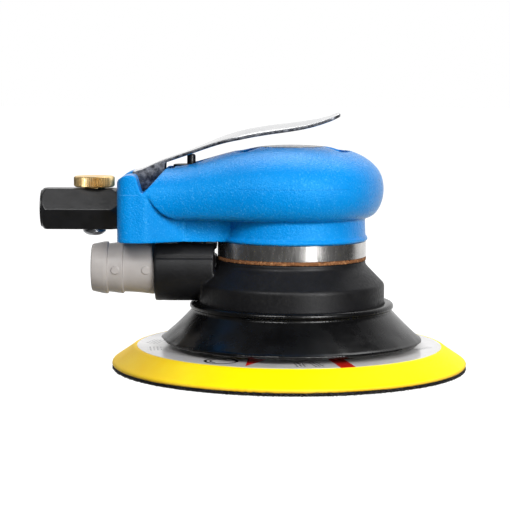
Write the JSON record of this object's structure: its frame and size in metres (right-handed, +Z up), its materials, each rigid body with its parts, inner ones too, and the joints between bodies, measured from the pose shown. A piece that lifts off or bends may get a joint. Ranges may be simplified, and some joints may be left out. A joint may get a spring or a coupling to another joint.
{
  "type": "orbital sander",
  "caption": "Air-driven random orbital palm sander: round hook-faced foam pad, rubber skirt, dust port with a barbed hose fitting, moulded palm housing, steel throttle lever and hex air inlet.",
  "frame": {"origin": "on the motor's axis, at the underside of the pad's hook face, on which the tool stands", "axes": "+Z up along the motor's axis; -X towards the air inlet and the dust hose fitting; +Y towards the side with the open end of the lever pin's bore"},
  "size_m": [0.1793, 0.15, 0.1077],
  "materials": {
    "housing_blue": "satin, fine spark-eroded grain",
    "label_dark": "matt printed disc",
    "polished_steel": "polished pressed sheet",
    "machined_steel": "turned or ground",
    "black_metal": "satin black",
    "black_plastic": "satin moulding",
    "grey_plastic": "satin moulding",
    "aluminium": "turned",
    "brass": "turned and knurled",
    "black_rubber": "smooth, semi-gloss",
    "cork": "compressed cork sheet, speckled",
    "foam_yellow": "moulded foam with a smooth skin",
    "hook_black": "short hooks",
    "label_white": null,
    "fibre_plate": "glass-fibre laminate"
  },
  "bodies": {
    "root": {"housing": "housing_blue", "top_label": "label_dark", "lever_pin": "machined_steel", "stem_guide": "black_plastic", "stem_o_ring": "black_rubber", "valve_seat": "brass", "valve_spring": "machined_steel", "inlet_bushing": "black_metal", "inlet_o_ring": "black_rubber", "inlet_screen": "machined_steel", "lock_ring": "aluminium", "motor_cylinder": "machined_steel", "front_end_plate": "machined_steel", "rear_end_plate": "machined_steel", "cylinder_dowels": "machined_steel", "motor_seal": "black_rubber", "front_bearing_outer_race": "machined_steel", "rear_bearing_outer_race": "machined_steel", "shroud_gasket": "cork", "shroud": "black_plastic", "shroud_screws": "machined_steel", "skirt": "black_rubber", "ejector_nozzle": "black_plastic", "exhaust_seal": "black_rubber", "fitting_set_screw": "black_metal"},
    "lever": {"throttle_lever": "polished_steel"},
    "stem": {"valve_stem": "black_metal"},
    "valve": {"throttle_valve": "brass", "valve_face_seal": "black_rubber"},
    "regulator": {"regulator_spool": "brass", "regulator_o_rings": "black_rubber", "regulator_knob": "brass", "regulator_washer": "machined_steel", "regulator_screw": "machined_steel"},
    "fitting": {"hose_fitting": "grey_plastic", "fitting_o_ring": "black_rubber"},
    "rotor": {"rotor": "machined_steel", "rotor_vanes": "fibre_plate", "rotor_key": "machined_steel", "shaft_balancer": "machined_steel", "front_bearing_inner_race": "machined_steel", "rear_bearing_inner_race": "machined_steel", "spindle_bearing_outer_race": "machined_steel", "spindle_circlip": "machined_steel", "dust_shield": "machined_steel"},
    "front_cage": {"front_bearing_balls": "machined_steel"},
    "rear_cage": {"rear_bearing_balls": "machined_steel"},
    "spindle_cage": {"spindle_bearing_balls": "machined_steel"},
    "pad": {"spindle": "machined_steel", "spindle_screw": "machined_steel", "spindle_bearing_inner_race": "machined_steel", "pad_plate": "fibre_plate", "pad_stud": "machined_steel", "pad_label": "label_white", "pad_foam": "foam_yellow", "pad_hook_face": "hook_black"}
  },
  "joints": [
    {"name": "lever_press", "type": "hinge", "parent": "root", "child": "lever", "pos_m": [-0.067, 0, 0.0772], "axis": [0, 1, 0], "range_deg": [0, 4.5], "stiffness_Nm_per_rad": 0.6, "springref_deg": -11.46},
    {"name": "stem_slide", "type": "slide", "parent": "root", "child": "stem", "axis": [0, 0, -1], "range_m": [0, 0.0022]},
    {"name": "valve_tilt", "type": "hinge", "parent": "root", "child": "valve", "pos_m": [-0.052, 0, 0.072], "axis": [0, 1, 0], "range_deg": [0, 12.5], "deforming": ["valve_spring"]},
    {"name": "regulator_turn", "type": "hinge", "parent": "root", "child": "regulator", "pos_m": [-0.083, 0, 0.078], "axis": [0, 0, 1], "range_deg": [0, 90]},
    {"name": "fitting_swivel", "type": "hinge", "parent": "root", "child": "fitting", "pos_m": [-0.07, 0, 0.0421], "axis": [1, 0, 0], "continuous": true},
    {"name": "rotor_spin", "type": "hinge", "parent": "root", "child": "rotor", "pos_m": [0, 0, 0.06], "axis": [0, 0, 1], "continuous": true},
    {"name": "front_cage_spin", "type": "hinge", "parent": "root", "child": "front_cage", "pos_m": [0, 0, 0.0525], "axis": [0, 0, 1], "continuous": true},
    {"name": "rear_cage_spin", "type": "hinge", "parent": "root", "child": "rear_cage", "pos_m": [0, 0, 0.0831], "axis": [0, 0, 1], "continuous": true},
    {"name": "pad_spin", "type": "hinge", "parent": "rotor", "child": "pad", "pos_m": [-0.0009, 0.00233, 0.01], "axis": [0, 0, 1], "continuous": true},
    {"name": "spindle_cage_spin", "type": "hinge", "parent": "rotor", "child": "spindle_cage", "pos_m": [-0.0009, 0.00233, 0.025], "axis": [0, 0, 1], "continuous": true}
  ],
  "couplings": [
    {"joint": "stem_slide", "follows": "lever_press", "m_per_rad": 0.0275},
    {"joint": "valve_tilt", "follows": "lever_press", "ratio": 2.7333},
    {"joint": "front_cage_spin", "follows": "rotor_spin", "ratio": 0.381},
    {"joint": "rear_cage_spin", "follows": "rotor_spin", "ratio": 0.368},
    {"joint": "spindle_cage_spin", "follows": "pad_spin", "ratio": 0.3678}
  ]
}
